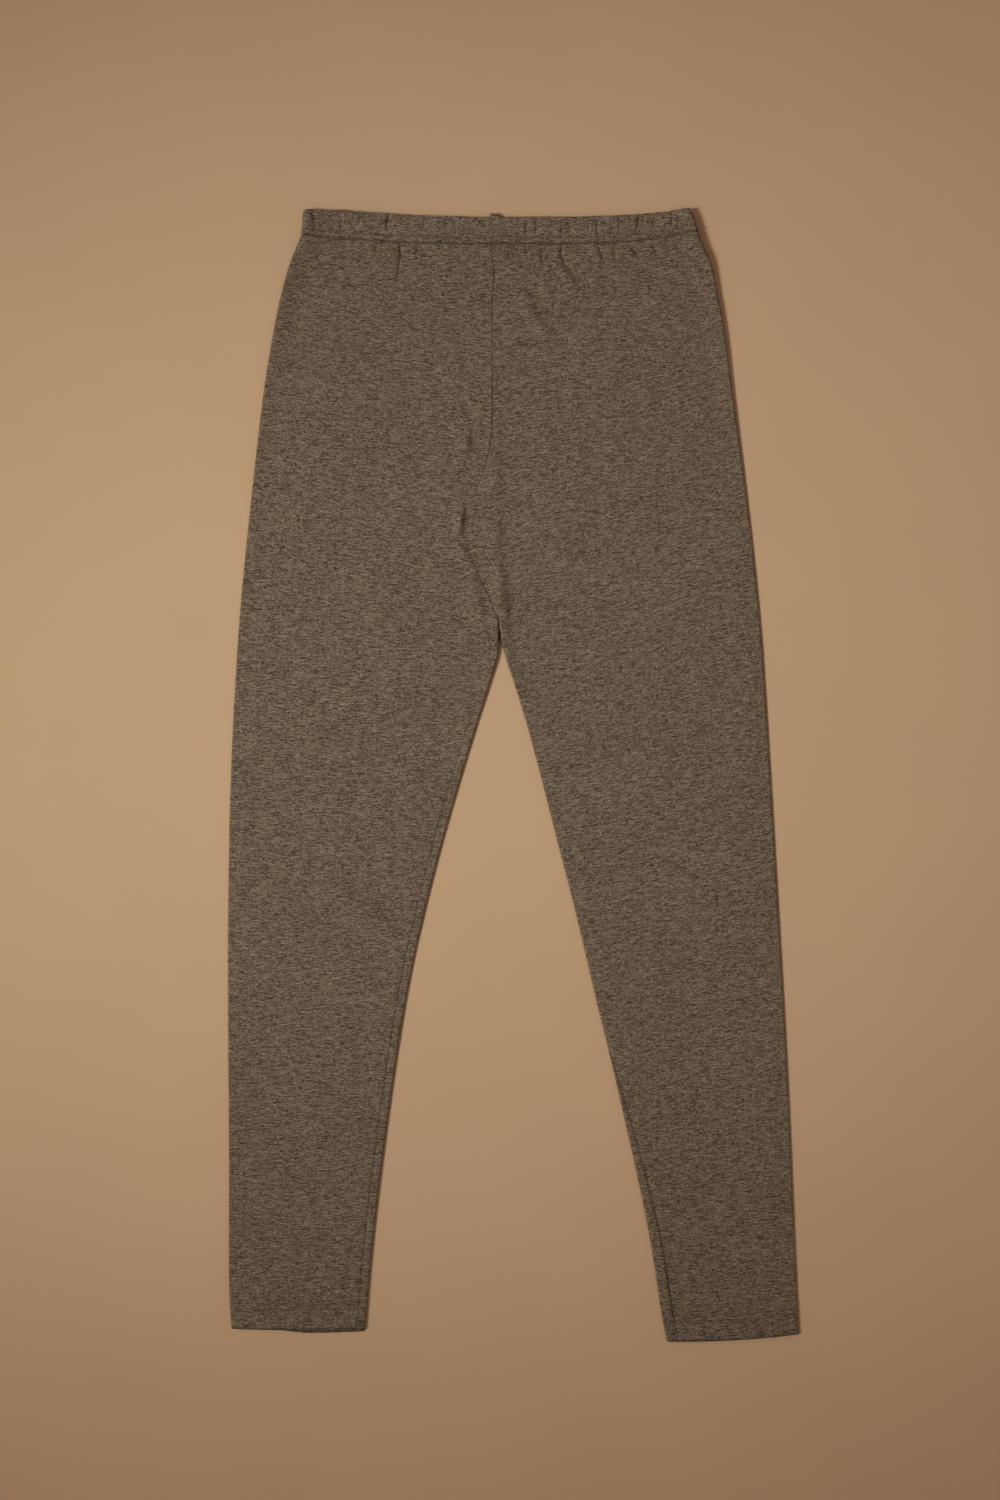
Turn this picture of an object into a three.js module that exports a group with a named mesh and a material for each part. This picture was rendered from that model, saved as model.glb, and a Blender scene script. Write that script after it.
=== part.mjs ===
import * as THREE from "three";

// A pair of pull-on jersey leggings laid flat on a surface, front up, waist towards +Y.
// Each leg is one panel of cloth, wrapped round from its front edge, over the fold at the outer side,
// to its back edge. The edges meet those of the other leg at the centre front and centre back seams,
// and each other at the inseam. The top of the cloth is turned over a flat elastic and makes a
// gathered casing, in two halves that meet at the centre seams. Sizes are in millimetres.
// The wearer's right leg lies at -X. "down" is the distance below the highest point of the waist.

const LENGTH = 952; // highest point of the waist to the lowest point of a hem
const WALL = 1.1; // one layer of the jersey
const INSIDE_GAP = 0.3; // air between the front and back layers where they lie flat
const SEAM_GAP = 0.3; // between two pieces that are sewn together
const SEAM_GROOVE = 0.4; // the front dips this far at the centre front seam
const CROTCH_ROLL = 14; // above the crotch the centre edges roll together over this length

// The casing is cloth, elastic and cloth. Its depth is from the top edge to the lower row of stitches.
const CASING_WALL = 2.6;
const CASING_EDGE = 0.7; // how much each face rounds off at the folded top edge
const WAIST_MIDDLE = -12; // middle of the waist, which lies a little towards the right leg
const WAIST_HALF = 160;
const TOP_DIP = 8.6; // the top edge dips this far in the middle
const STITCH_DOWN = 31; // the lower row of stitches at the middle
const ELASTIC_LOOP = 9; // height of the loop that the elastic makes at each side
const SEAM_NUB = { rise: 2.6, width: 3.4, fade: 0.4 }; // the centre front seam stands up out of the top edge

const HEM_DEPTH = 21; // the turned-up hem
const HEM_WALL = 2 * WALL;
const CROTCH_DOWN = 353;

// How the cloth lies: heights, and the distances over which one height passes into another.
const FLAT_STACK = 2 * WALL + INSIDE_GAP;
const CASING_STACK = 2 * CASING_WALL + INSIDE_GAP;
const HEM_STACK = 2 * HEM_WALL + INSIDE_GAP;
const CASING_FADE = 60; // below the casing
const HEM_FADE = 16; // above the hem
const LOOP_FADE = 300; // the side loop flattens out this far down the outer side
const LOOP_WIDTH = { waist: 24, ankle: 9 };
const EDGE_PUFF = { outer: 0.7, inner: 0.6 }; // the cloth stands up a little where it folds over
const INNER_FADE = { along: 40, across: 9 };
const CALM_EDGE = 12; // no gather or crease comes closer to the outer side
const FOLD_ROOM = 0.55; // sideways, inside the fold at an edge
const WAIST_FOLLOW = 150; // rows of the cloth follow the stitches this far down
const HEM_FOLLOW = 80; // and the hem this far up

// The side edge and the inner edge of each leg, as they lie.
const RIGHT_OUTER = [
  { down: 0, x: -175 },
  { down: 17, x: -178 },
  { down: 25, x: -179.5 },
  { down: 48, x: -188 },
  { down: 70, x: -194.5 },
  { down: 103, x: -201 },
  { down: 153, x: -209.5 },
  { down: 254, x: -221.5 },
  { down: 351, x: -231 },
  { down: 472, x: -237.5 },
  { down: 598, x: -240 },
  { down: 700, x: -240.2 },
  { down: 800, x: -239.3 },
  { down: 942, x: -237 },
];
const RIGHT_INNER = [
  { down: CROTCH_DOWN, x: -13.1 },
  { down: 366, x: -13.5 },
  { down: 379, x: -15.9 },
  { down: 392, x: -19.8 },
  { down: 417, x: -27.5 },
  { down: 472, x: -44.3 },
  { down: 531, x: -61.5 },
  { down: 598, x: -78.8 },
  { down: 665, x: -92.2 },
  { down: 733, x: -102.7 },
  { down: 800, x: -111.5 },
  { down: 867, x: -119 },
  { down: 942, x: -126 },
];
const LEFT_OUTER = [
  { down: 0, x: 147 },
  { down: 12, x: 151.5 },
  { down: 21, x: 154.5 },
  { down: 31, x: 157.5 },
  { down: 47, x: 165.5 },
  { down: 70, x: 170 },
  { down: 103, x: 176 },
  { down: 153, x: 182.5 },
  { down: 254, x: 196 },
  { down: 351, x: 205.5 },
  { down: 472, x: 214 },
  { down: 598, x: 221.5 },
  { down: 733, x: 229 },
  { down: 867, x: 235.5 },
  { down: 952, x: 240.2 },
];
const LEFT_INNER = [
  { down: CROTCH_DOWN, x: -12.7 },
  { down: 362, x: -11.2 },
  { down: 370, x: -9.8 },
  { down: 381, x: -6.5 },
  { down: 401, x: 0.5 },
  { down: 447, x: 14.5 },
  { down: 531, x: 36.3 },
  { down: 598, x: 53.6 },
  { down: 665, x: 69 },
  { down: 733, x: 85.5 },
  { down: 800, x: 100.2 },
  { down: 867, x: 114 },
  { down: 926, x: 123.3 },
  { down: 952, x: 128.5 },
];

// The centre front seam drops straight and then buckles towards the right leg above the crotch.
const CENTRE_FRONT = [
  { down: 0, x: -18.5 },
  { down: 60, x: -17 },
  { down: 160, x: -19 },
  { down: 200, x: -20.5 },
  { down: 228, x: -29.5 },
  { down: 252, x: -39 },
  { down: 275, x: -44 },
  { down: 292, x: -40 },
  { down: 312, x: -28.5 },
  { down: 334, x: -18.5 },
  { down: CROTCH_DOWN, x: -12.9 },
];
const CENTRE_BACK = [
  { down: 0, x: -15 },
  { down: 160, x: -16 },
  { down: CROTCH_DOWN, x: -12.9 },
];

// How far the inseam lies from the inner edge, measured over the front; a minus is round on the back.
const RIGHT_INSEAM = [
  { down: CROTCH_DOWN, x: 0 },
  { down: 392, x: 5 },
  { down: 430, x: 8 },
  { down: 952, x: 8 },
];
const LEFT_INSEAM = [
  { down: CROTCH_DOWN, x: 0 },
  { down: 400, x: -5 },
  { down: 640, x: -5 },
  { down: 740, x: 3 },
  { down: 800, x: 8 },
  { down: 952, x: 8 },
];

// Pleats that the elastic draws into the cloth: where each crosses the stitches, how deep and wide it is,
// how far it runs up into the casing and down into the leg, and how far it leans towards +X on its way down.
const WAIST_PLEATS = [
  { x: -166, depth: 1.0, width: 5, up: 20, below: 6, lean: 5 },
  { x: -145, depth: 0.6, width: 5, up: 16, below: 10, lean: 0 },
  { x: -130, depth: 0.6, width: 5, up: 18, below: 8, lean: 1 },
  { x: -117.5, depth: 0.9, width: 5, up: 6, below: 16, lean: 0 },
  { x: -107, depth: 1.3, width: 5, up: 20, below: 6, lean: -2 },
  { x: -96.5, depth: 1.6, width: 6, up: 4, below: 34, lean: 1 },
  { x: -81, depth: 0.7, width: 5, up: 16, below: 18, lean: -1 },
  { x: -62, depth: 0.5, width: 6, up: 18, below: 10, lean: 1 },
  { x: -44, depth: 0.5, width: 6, up: 16, below: 14, lean: -1 },
  { x: -6, depth: 0.9, width: 5, up: 5, below: 20, lean: 0 },
  { x: 8.5, depth: 0.9, width: 5, up: 12, below: 10, lean: 0 },
  { x: 21, depth: 1.0, width: 5, up: 14, below: 22, lean: 3 },
  { x: 39, depth: 1.5, width: 6, up: 10, below: 30, lean: 5 },
  { x: 52, depth: 0.7, width: 5, up: 19, below: 8, lean: 0 },
  { x: 70, depth: 1.1, width: 5, up: 13, below: 20, lean: 5 },
  { x: 84, depth: 0.9, width: 5, up: 19, below: 14, lean: 3 },
  { x: 101, depth: 1.4, width: 6, up: 20, below: 18, lean: 6 },
  { x: 115, depth: 1.2, width: 5, up: 8, below: 18, lean: 5 },
  { x: 132, depth: 1.0, width: 5, up: 18, below: 8, lean: 1 },
  { x: 143, depth: 0.7, width: 5, up: 16, below: 10, lean: 2 },
];
// Small even gathers all round, which wander a little sideways and differ in depth.
const SMALL_GATHERS = {
  pitch: 10.5,
  depth: 0.28,
  below: 26,
  wander: 1.3,
  wanderOver: 17,
  unevenness: 0.3,
  unevenOver: 9.3,
};

// Soft creases of the front: each is a trough, or with a minus depth a ridge, from one end to the other.
const CREASES = [
  { fromX: -37, fromDown: 180, toX: -38, toDown: 208, depth: 0.8, width: 6 },
  { fromX: -38, fromDown: 244, toX: -44.5, toDown: 276, depth: 1.0, width: 7 },
  { fromX: -43, fromDown: 284, toX: -24, toDown: 356, depth: 1.0, width: 9 },
  { fromX: -27, fromDown: 276, toX: -11, toDown: 338, depth: -1.9, width: 15 },
  { fromX: -11, fromDown: 196, toX: -12, toDown: 296, depth: 0.7, width: 9 },
  { fromX: -12, fromDown: 296, toX: -2, toDown: 376, depth: 1.1, width: 9 },
  { fromX: 8, fromDown: 70, toX: 30, toDown: 108, depth: 0.8, width: 9 },
  { fromX: 38, fromDown: 40, toX: 57, toDown: 72, depth: 0.7, width: 8 },
  { fromX: -168, fromDown: 548, toX: -86, toDown: 608, depth: 1.3, width: 12 },
  { fromX: -150, fromDown: 575, toX: -84, toDown: 624, depth: -1.0, width: 14 },
];

const clamp = (value, low, high) => Math.min(high, Math.max(low, value));
const mix = (a, b, t) => a + (b - a) * t;
const ease = (t) => {
  const c = clamp(t, 0, 1);
  return c * c * (3 - 2 * c);
};
const mound = (t) => (Math.abs(t) < 1 ? (1 - t * t) ** 2 : 0);
const arch = (t) => 4 * t * (1 - t);

// The x of a table at a distance down, on a smooth curve through its rows.
function along(rows, down) {
  const last = rows.length - 1;
  const above = rows.findLastIndex((row) => row.down <= down);
  const k = clamp(above, 0, last - 1);
  const slopeAt = (i) => {
    const [a, b] = [rows[Math.max(i - 1, 0)], rows[Math.min(i + 1, last)]];
    return (b.x - a.x) / (b.down - a.down);
  };
  const [p, q] = [rows[k], rows[k + 1]];
  const span = q.down - p.down;
  const t = clamp((down - p.down) / span, 0, 1);
  const straight = (q.x - p.x) / span;
  const bend = (slopeAt(k) - straight) * (1 - t) - (slopeAt(k + 1) - straight) * t;
  return mix(p.x, q.x, t) + span * t * (1 - t) * bend;
}

// The two legs: their hems, from the inner to the outer side, and how the waist dips over each.
const LEGS = [
  {
    name: "right_leg",
    casing: "right_waist_casing",
    side: -1,
    outer: RIGHT_OUTER,
    inner: RIGHT_INNER,
    inseam: RIGHT_INSEAM,
    hem: { inner: 941, outer: 941, bow: 1.4, backBelow: 2.4 },
    stitchSide: 24.3,
    dipPower: 2.2,
  },
  {
    name: "left_leg",
    casing: "left_waist_casing",
    side: 1,
    outer: LEFT_OUTER,
    inner: LEFT_INNER,
    inseam: LEFT_INSEAM,
    hem: { inner: LENGTH, outer: 944.4, bow: 1.9, backBelow: 0 },
    stitchSide: 21,
    dipPower: 4,
  },
];
const hemMiddle = (leg) => (leg.hem.inner + leg.hem.outer) / 2;

// The waist dips between its two sides, more sharply on the left.
function dip(leg, x) {
  const t = Math.abs(x - WAIST_MIDDLE) / WAIST_HALF;
  return 1 - Math.min(1, t) ** leg.dipPower;
}
const topLine = (leg, x) => TOP_DIP * dip(leg, x);
const stitchLine = (leg, x) => mix(leg.stitchSide, STITCH_DOWN, dip(leg, x));

// The lower edge of the hem. The back of the right one shows below its front over the inner half.
function hemLine(leg, x, onBack) {
  const { hem } = leg;
  const inner = along(leg.inner, hemMiddle(leg));
  const outer = along(leg.outer, hemMiddle(leg));
  const t = clamp((x - inner) / (outer - inner), 0, 1);
  const front = mix(hem.inner, hem.outer, t) + hem.bow * arch(t);
  return onBack ? front + hem.backBelow * ease((0.7 - t) / 0.3) : front;
}

// How deep the gathers are at a point of the front. They die out towards the top edge and the hips.
function gathers(x, belowStitches) {
  let depth = 0;
  for (const pleat of WAIST_PLEATS) {
    const reach = belowStitches < 0 ? pleat.up : pleat.below;
    const fade = 1 - ease(Math.abs(belowStitches) / reach);
    const centre = pleat.x + pleat.lean * Math.max(-0.5, belowStitches / pleat.below);
    depth += pleat.depth * fade * mound((x - centre) / pleat.width);
  }
  const small = SMALL_GATHERS;
  const turns = (2 * Math.PI * x) / small.pitch + small.wander * Math.sin(x / small.wanderOver);
  const uneven = 1 - small.unevenness * (1 + Math.sin(x / small.unevenOver));
  const fade = 1 - ease(belowStitches / small.below);
  return depth - small.depth * Math.sin(turns) * uneven * fade;
}

// How deep the creases are at a point of the front.
function creases(x, down) {
  let depth = 0;
  for (const c of CREASES) {
    const [runX, runDown] = [c.toX - c.fromX, c.toDown - c.fromDown];
    const [offX, offDown] = [x - c.fromX, down - c.fromDown];
    const length = Math.hypot(runX, runDown);
    const t = (offX * runX + offDown * runDown) / length ** 2;
    const across = (offX * runDown - offDown * runX) / length;
    depth += c.depth * mound(across / c.width) * Math.sqrt(mound(2 * t - 1));
  }
  return depth;
}

// Height of the top of the front layer above the surface that the leggings lie on.
function frontHeight(leg, x, down) {
  const belowStitches = down - stitchLine(leg, x);
  const aboveHem = hemLine(leg, x, false) - down;
  const fromSide = Math.abs(along(leg.outer, down) - x);
  const fromInner = Math.abs(along(leg.inner, down) - x);

  const nearCasing = 1 - ease(belowStitches / CASING_FADE);
  const nearHem = 1 - ease((aboveHem - HEM_DEPTH) / HEM_FADE);
  const stack =
    FLAT_STACK + (CASING_STACK - FLAT_STACK) * nearCasing + (HEM_STACK - FLAT_STACK) * nearHem;

  const atWaist = 1 - ease(down / LOOP_FADE);
  const loop = mix(EDGE_PUFF.outer, ELASTIC_LOOP - CASING_STACK, atWaist);
  const loopWidth = mix(LOOP_WIDTH.ankle, LOOP_WIDTH.waist, atWaist);
  const outerEdge = loop * (1 - ease(fromSide / loopWidth));
  const belowCrotch = ease((down - CROTCH_DOWN) / INNER_FADE.along);
  const innerEdge = EDGE_PUFF.inner * belowCrotch * (1 - ease(fromInner / INNER_FADE.across));

  const folds = (gathers(x, belowStitches) + creases(x, down)) * ease(fromSide / CALM_EDGE);
  const least = belowStitches < 0 ? CASING_WALL + INSIDE_GAP + WALL : FLAT_STACK;
  return Math.max(stack + outerEdge + innerEdge - folds, least);
}

// The steps of a panel's outline round an edge, and the shares of the way round that it takes.
const FOLD_STEPS = 2; // in a quarter of a fold
const FOLD_SHARE = 0.02; // of the whole way, for a quarter of a fold

const point = (row, share, x, onBack, outer, inner) => {
  const y = LENGTH / 2 - row.downAt(x, onBack);
  return { share, outer: [outer.x, y, outer.z], inner: [inner.x, y, inner.z] };
};
const foldReach = (row, x) => row.wall(x, false) + FOLD_ROOM;
const layerHeight = (row, x) => row.height(x, row.downAt(x, false));
const underFront = (row, x) =>
  Math.max(layerHeight(row, x) - row.wall(x, false), row.wall(x, true) + INSIDE_GAP);

// A quarter of the fold at an edge, from the front or back layer to the middle of the edge.
function quarterFold(row, edge, towards, onBack) {
  const reach = foldReach(row, edge);
  const centre = edge - towards * reach;
  const half = layerHeight(row, centre) / 2;
  const wall = Math.min(row.wall(centre, onBack), half - INSIDE_GAP / 2);
  return Array.from({ length: FOLD_STEPS + 1 }, (_, k) => {
    const turn = (k / FOLD_STEPS) * (Math.PI / 2);
    const across = towards * Math.sin(turn);
    const up = Math.cos(turn) * (onBack ? -1 : 1);
    const outer = { x: centre + reach * across, z: half + half * up };
    const inner = { x: centre + (reach - wall) * across, z: half + (half - wall) * up };
    return point(row, 0, centre, onBack, outer, inner);
  });
}

// Gives the points of a fold even shares of the way round.
const shared = (points, from) =>
  points.map((p, k) => ({ ...p, share: from + (FOLD_SHARE * k) / FOLD_STEPS }));

// The points of the front or back layer between two places, without its ends.
function layer(row, fromX, toX, onBack) {
  const columns = onBack ? BACK_COLUMNS : row.columns;
  const crowd = onBack ? 1 : row.crowd;
  const firstShare = onBack ? 0.5 + FOLD_SHARE : FOLD_SHARE;
  return Array.from({ length: columns - 1 }, (_, k) => {
    const t = ((k + 1) / columns) ** crowd;
    const x = mix(fromX, toX, t);
    const outer = { x, z: onBack ? 0 : layerHeight(row, x) };
    const inner = { x, z: onBack ? row.wall(x, true) : underFront(row, x) };
    return point(row, firstShare + t * (0.5 - 2 * FOLD_SHARE), x, onBack, outer, inner);
  });
}

// One ring of a panel, as points of its outer and inner faces at shares of the way round: 0 at the centre
// front or inner edge, 0.5 at the fold of the outer side, and 1 at the centre back or inner edge.
function ring(leg, row) {
  const { side } = leg;
  const outerEdge = along(leg.outer, row.downAt(along(leg.outer, row.straight), false));
  const outerStart = outerEdge - side * foldReach(row, outerEdge);
  const outerFold = [
    ...shared(quarterFold(row, outerEdge, side, false), 0.5 - FOLD_SHARE),
    ...shared(quarterFold(row, outerEdge, side, true).reverse(), 0.5).slice(1),
  ];
  if (row.straight >= CROTCH_DOWN) {
    const innerEdge = along(leg.inner, row.straight);
    const innerStart = innerEdge + side * foldReach(row, innerEdge);
    const round = [
      ...shared(quarterFold(row, innerEdge, -side, false).reverse(), 0),
      ...layer(row, innerStart, outerStart, false),
      ...outerFold,
      ...layer(row, outerStart, innerStart, true),
      ...shared(quarterFold(row, innerEdge, -side, true), 1 - FOLD_SHARE),
    ];
    return cutAtInseam(round, along(leg.inseam, row.straight));
  }
  const frontStart = row.frontX + side * foldReach(row, row.frontX);
  const backStart = row.backX + side * foldReach(row, row.backX);
  return [
    centreEdge(leg, row, false),
    point(
      row,
      FOLD_SHARE,
      frontStart,
      false,
      { x: frontStart, z: layerHeight(row, frontStart) },
      { x: frontStart, z: underFront(row, frontStart) },
    ),
    ...layer(row, frontStart, outerStart, false),
    ...outerFold,
    ...layer(row, outerStart, backStart, true),
    point(
      row,
      1 - FOLD_SHARE,
      backStart,
      true,
      { x: backStart, z: 0 },
      { x: backStart, z: row.wall(backStart, true) },
    ),
    centreEdge(leg, row, true),
  ];
}

// The cut edge of a panel at the centre front or back seam. Just above the crotch the two edges roll
// together, because below it they meet each other at the inseam.
function centreEdge(leg, row, onBack) {
  const roll = ease((row.straight - CROTCH_DOWN) / CROTCH_ROLL + 1);
  const x = (onBack ? row.backX : row.frontX) + (leg.side * SEAM_GAP) / 2;
  const meeting = layerHeight(row, x) / 2 + (onBack ? -SEAM_GAP : SEAM_GAP) / 2;
  const outerZ = onBack ? 0 : layerHeight(row, x) - row.groove;
  const innerZ = onBack ? row.wall(x, true) : underFront(row, x) - row.groove / 2;
  const innerX = x + leg.side * row.wall(x, onBack) * roll;
  return point(
    row,
    onBack ? 1 : 0,
    x,
    onBack,
    { x, z: mix(outerZ, meeting, roll) },
    { x: innerX, z: mix(innerZ, meeting, roll) },
  );
}

// Opens a closed ring at the inseam, at a distance from the middle of the inner edge.
function cutAtInseam(round, inseam) {
  const lengths = [0];
  round.slice(1).forEach((p, k) => {
    const before = round[k].outer;
    lengths.push(lengths[k] + Math.hypot(p.outer[0] - before[0], p.outer[2] - before[2]));
  });
  const total = lengths.at(-1);
  const pointAt = (distance) => {
    const d = clamp(distance, 0, total);
    const k = clamp(
      lengths.findIndex((length) => length >= d),
      1,
      round.length - 1,
    );
    const t = (d - lengths[k - 1]) / (lengths[k] - lengths[k - 1]);
    const [a, b] = [round[k - 1], round[k]];
    const blend = (p, q) => p.map((value, i) => mix(value, q[i], t));
    return {
      share: mix(a.share, b.share, t),
      outer: blend(a.outer, b.outer),
      inner: blend(a.inner, b.inner),
    };
  };
  const clear = 0.4; // a point closer to the cut than this is left out
  const between = (from, to) =>
    round.filter((_, k) => lengths[k] > from + clear && lengths[k] < to - clear);
  const turned = (points, turns) => points.map((p) => ({ ...p, share: p.share + turns }));
  const half = SEAM_GAP / 2;
  if (inseam < 0) {
    const cut = total + inseam;
    const start = [pointAt(cut + half), ...between(cut + half, total)];
    const end = [...between(0, cut - half), pointAt(cut - half)];
    return [...turned(start, -1), pointAt(0), ...end];
  }
  const start = [pointAt(inseam + half), ...between(inseam + half, total - clear)];
  if (inseam < half + clear) return [...start, pointAt(total - (half - inseam))];
  const end = [...between(0, inseam - half), pointAt(inseam - half)];
  return [...start, pointAt(total), ...turned(end, 1)];
}

// Triangles between two rows of points that may differ in number, taking the nearer step each time.
function zip(rowA, rowB) {
  const faces = [];
  let [i, j] = [0, 0];
  while (i < rowA.length - 1 || j < rowB.length - 1) {
    const stepA = rowA[i + 1]?.share ?? Infinity;
    const stepB = rowB[j + 1]?.share ?? Infinity;
    if (stepA <= stepB) {
      faces.push([rowA[i].id, rowB[j].id, rowA[i + 1].id]);
      i++;
    } else {
      faces.push([rowA[i].id, rowB[j].id, rowB[j + 1].id]);
      j++;
    }
  }
  return faces;
}

const reversed = (faces) => faces.map(([a, b, c]) => [a, c, b]);
const quad = (a, b, c, d) => [
  [a.id, b.id, c.id],
  [a.id, c.id, d.id],
];

// A closed wall through a list of rings: its outer and inner faces, its two long cut edges, and its ends.
function wallThrough(rings, side) {
  const positions = [];
  const numbered = (face) =>
    rings.map((points) =>
      points.map((p) => {
        positions.push(...p[face]);
        return { share: p.share, id: positions.length / 3 - 1 };
      }),
    );
  const [outer, inner] = [numbered("outer"), numbered("inner")];
  const faces = [];
  for (let r = 0; r + 1 < rings.length; r++) {
    const [a, b, c, d] = [outer[r], outer[r + 1], inner[r + 1], inner[r]];
    faces.push(...zip(a, b), ...reversed(zip(d, c)));
    faces.push(...reversed(quad(a[0], b[0], c[0], d[0])));
    faces.push(...quad(a.at(-1), b.at(-1), c.at(-1), d.at(-1)));
  }
  const end = (r) =>
    outer[r].slice(1).flatMap((p, k) => quad(outer[r][k], p, inner[r][k + 1], inner[r][k]));
  faces.push(...end(0), ...reversed(end(rings.length - 1)));
  const geometry = new THREE.BufferGeometry();
  geometry.setAttribute("position", new THREE.Float32BufferAttribute(positions, 3));
  geometry.setIndex((side > 0 ? faces : reversed(faces)).flat());
  geometry.computeVertexNormals();
  return geometry;
}

// Rows of a leg: where they start and end below the waist, how many there are, and how many columns
// the front has there. A crowd over 1 puts the columns closer together towards the centre.
const LEG_ZONES = [
  { from: STITCH_DOWN + SEAM_GAP / 2, to: 66, rows: 6, columns: 44, crowd: 1 },
  { from: 74, to: 180, rows: 5, columns: 18, crowd: 1 },
  { from: 200, to: CROTCH_DOWN - 1.2, rows: 11, columns: 16, crowd: 1.8 },
  { from: CROTCH_DOWN, to: 386, rows: 5, columns: 11, crowd: 1.6 },
  { from: 408, to: 530, rows: 5, columns: 7, crowd: 1.3 },
  { from: 550, to: 622, rows: 5, columns: 10, crowd: 1 },
  { from: 662, to: 752, rows: 7, columns: 5, crowd: 1 },
  { from: 800, to: 880, rows: 2, columns: 5, crowd: 1 },
];
// The last rows: their heights above the hem's edge, and how much the wall is rounded off there.
const HEM_ROWS = [
  { above: 36, round: 0 },
  { above: HEM_DEPTH + 0.5, round: 0 },
  { above: HEM_DEPTH - 0.5, round: 0 },
  { above: 10, round: 0 },
  { above: 1.2, round: 0 },
  { above: 0, round: 0.6 },
];
const HEM_COLUMNS = 5;
const BACK_COLUMNS = 4;

// The outer face of the front is drawn in twice as far as the back's, which lies on the surface.
const drawnIn = (wall, by, onBack) => wall - by * (onBack ? 1 : 2);

// What ring needs to know of one row of a leg.
function legRow(leg, { straight, columns, crowd, round = 0 }) {
  const nearWaist = 1 - ease((straight - STITCH_DOWN) / WAIST_FOLLOW);
  const nearHem = 1 - ease((hemMiddle(leg) - straight) / HEM_FOLLOW);
  const downAt = (x, onBack) => {
    const waist = (stitchLine(leg, x) - STITCH_DOWN) * nearWaist;
    return straight + waist + (hemLine(leg, x, onBack) - hemMiddle(leg)) * nearHem;
  };
  const hemShare = (x, onBack) => ease(downAt(x, onBack) - hemLine(leg, x, onBack) + HEM_DEPTH + 0.5);
  const centreDown = downAt(CENTRE_FRONT[0].x, false);
  return {
    straight,
    columns,
    crowd,
    downAt,
    frontX: along(CENTRE_FRONT, centreDown),
    backX: along(CENTRE_BACK, centreDown),
    groove: SEAM_GROOVE,
    height: (x, down) => frontHeight(leg, x, down) - round,
    wall: (x, onBack) => drawnIn(mix(WALL, HEM_WALL, hemShare(x, onBack)), round, onBack),
  };
}

function legPanel(leg) {
  const rows = LEG_ZONES.flatMap((zone) =>
    Array.from({ length: zone.rows }, (_, k) => ({
      ...zone,
      straight: mix(zone.from, zone.to, k / (zone.rows - 1)),
    })),
  );
  for (const { above, round } of HEM_ROWS) {
    rows.push({ straight: hemMiddle(leg) - above, columns: HEM_COLUMNS, crowd: 1, round });
  }
  return wallThrough(
    rows.map((row) => ring(leg, legRow(leg, row))),
    leg.side,
  );
}

// Rows of the casing, as shares of the way from the top edge to the stitches, and how far its faces are
// drawn in: at the folded top edge, and at the two rows of stitches. Between them it bulges.
const CASING_ROWS = [
  { share: 0, drawn: CASING_EDGE },
  { share: 0.05, drawn: 0 },
  { share: 0.4, drawn: -0.25 },
  { share: 0.72, drawn: 0 },
  { share: 0.78, drawn: 0.35 },
  { share: 0.88, drawn: 0 },
  { share: 1, drawn: 0.3 },
];
const CASING_COLUMNS = 44;

function casingRow(leg, { share, drawn }) {
  const seamX = CENTRE_FRONT[0].x;
  const downAt = (x, onBack) => {
    const nub = onBack ? 0 : SEAM_NUB.rise * mound((x - seamX) / SEAM_NUB.width);
    const lower = stitchLine(leg, x) - SEAM_GAP / 2;
    return mix(topLine(leg, x), lower, share) - nub * (1 - ease(share / SEAM_NUB.fade));
  };
  return {
    straight: mix(0, leg.stitchSide, share),
    columns: CASING_COLUMNS,
    crowd: 1,
    downAt,
    frontX: along(CENTRE_FRONT, downAt(seamX, true)),
    backX: along(CENTRE_BACK, downAt(seamX, true)),
    groove: share > 0 ? SEAM_GROOVE : 0,
    height: (x, down) => frontHeight(leg, x, down) - drawn,
    wall: (x, onBack) => drawnIn(CASING_WALL, Math.max(0, drawn), onBack),
  };
}

function casingHalf(leg) {
  return wallThrough(
    CASING_ROWS.map((row) => ring(leg, casingRow(leg, row))),
    leg.side,
  );
}

const flatJersey = new THREE.MeshStandardMaterial({ color: 0x62523f, roughness: 0.95, metalness: 0 });
const gatheredJersey = new THREE.MeshStandardMaterial({ color: 0x5f4f3e, roughness: 0.95, metalness: 0 });

const leggings = new THREE.Group();
for (const leg of LEGS) {
  const panel = new THREE.Mesh(legPanel(leg), flatJersey);
  panel.name = leg.name;
  const casing = new THREE.Mesh(casingHalf(leg), gatheredJersey);
  casing.name = leg.casing;
  leggings.add(panel, casing);
}

export default leggings;
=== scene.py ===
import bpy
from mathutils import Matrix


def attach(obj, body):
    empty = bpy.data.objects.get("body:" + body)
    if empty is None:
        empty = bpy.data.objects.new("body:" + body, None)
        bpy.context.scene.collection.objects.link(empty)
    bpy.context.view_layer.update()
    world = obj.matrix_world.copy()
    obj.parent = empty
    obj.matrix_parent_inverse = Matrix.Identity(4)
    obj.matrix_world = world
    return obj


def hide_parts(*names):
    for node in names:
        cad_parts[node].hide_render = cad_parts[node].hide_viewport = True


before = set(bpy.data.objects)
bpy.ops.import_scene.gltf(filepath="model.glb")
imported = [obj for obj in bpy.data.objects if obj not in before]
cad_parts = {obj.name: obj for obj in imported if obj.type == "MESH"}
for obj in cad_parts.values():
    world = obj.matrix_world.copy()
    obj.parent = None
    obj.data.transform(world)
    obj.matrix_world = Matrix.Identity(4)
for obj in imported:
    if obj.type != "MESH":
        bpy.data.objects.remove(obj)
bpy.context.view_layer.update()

from types import SimpleNamespace

import bpy
import numpy as np
from mathutils import Vector

# Pull-on jersey leggings laid flat on a sheet of paper, front up, waist towards +Y, the wearer's right
# leg at -X. Sizes of the cloth are in millimetres, and turned into metres where a mesh is made. "down"
# is the distance below the highest point of the waist.

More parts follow.
